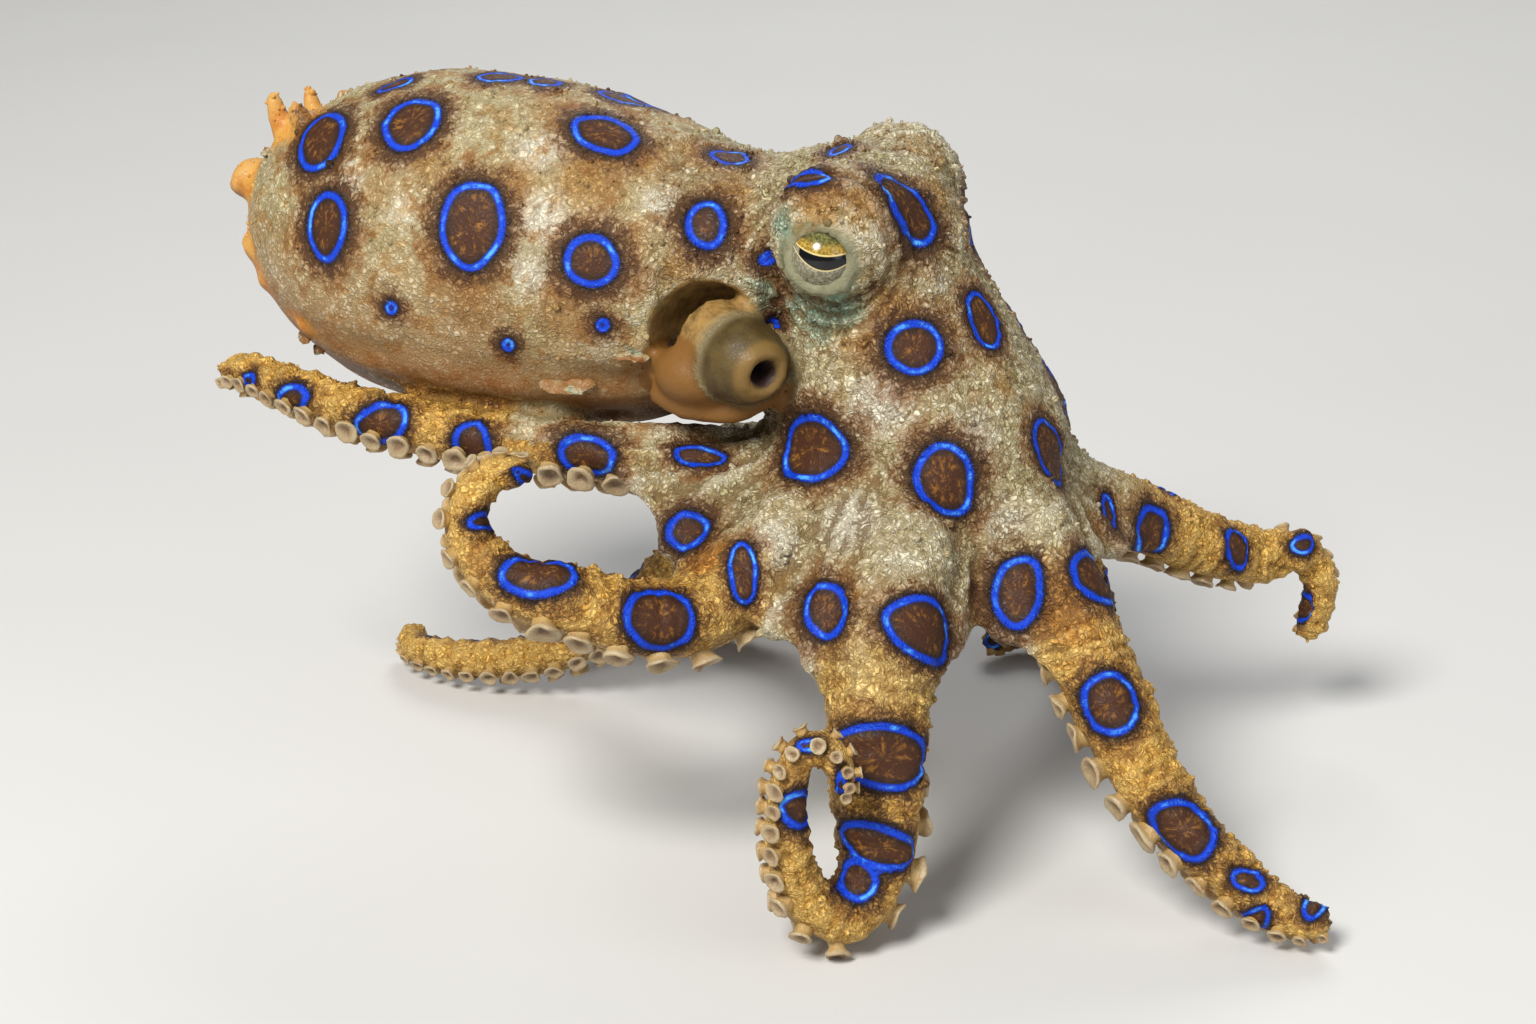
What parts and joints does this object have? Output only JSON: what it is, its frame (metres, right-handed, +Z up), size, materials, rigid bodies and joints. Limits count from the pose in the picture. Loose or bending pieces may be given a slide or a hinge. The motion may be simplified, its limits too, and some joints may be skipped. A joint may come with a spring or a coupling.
{
  "type": "blue ringed octopus",
  "caption": "Life-size still model of a blue ringed octopus standing on its curled arms, with suckered arms, webs, funnel, raised eyes and a sac-like body.",
  "frame": {"origin": "centre of the footprint's box, on the floor that the arms rest on", "axes": "+Z up; +X along the longest extent, towards the front arm's tip, as the picture shows it from left to right; +Y away from the side that the picture shows"},
  "size_m": [0.0872, 0.0635, 0.0529],
  "materials": {
    "skin": "moist granular cream and yellow-tan skin with brown mottling and dark-haloed blue rings",
    "sucker": "smooth pale peach, slightly translucent",
    "eye": "wet gloss over a gold and silver iris with a dark level slit",
    "mouth": "moist brown lip"
  },
  "bodies": {
    "root": {"mantle": "skin", "head": "skin", "funnel": "skin", "mouth": "mouth", "eye_left": "eye", "eye_right": "eye", "arm_r1_base": "skin", "arm_r1_upper": "skin", "arm_r1_lower": "skin", "arm_r2_base": "skin", "arm_r2_upper": "skin", "arm_r2_lower": "skin", "arm_r3_base": "skin", "arm_r3_upper": "skin", "arm_r3_lower": "skin", "arm_r4_base": "skin", "arm_r4_upper": "skin", "arm_r4_lower": "skin", "arm_l4_base": "skin", "arm_l4_upper": "skin", "arm_l4_lower": "skin", "arm_l3_base": "skin", "arm_l3_upper": "skin", "arm_l3_lower": "skin", "arm_l2_base": "skin", "arm_l2_upper": "skin", "arm_l2_lower": "skin", "arm_l1_base": "skin", "arm_l1_upper": "skin", "arm_l1_lower": "skin", "arm_r2_tip": "skin"}
  },
  "joints": []
}
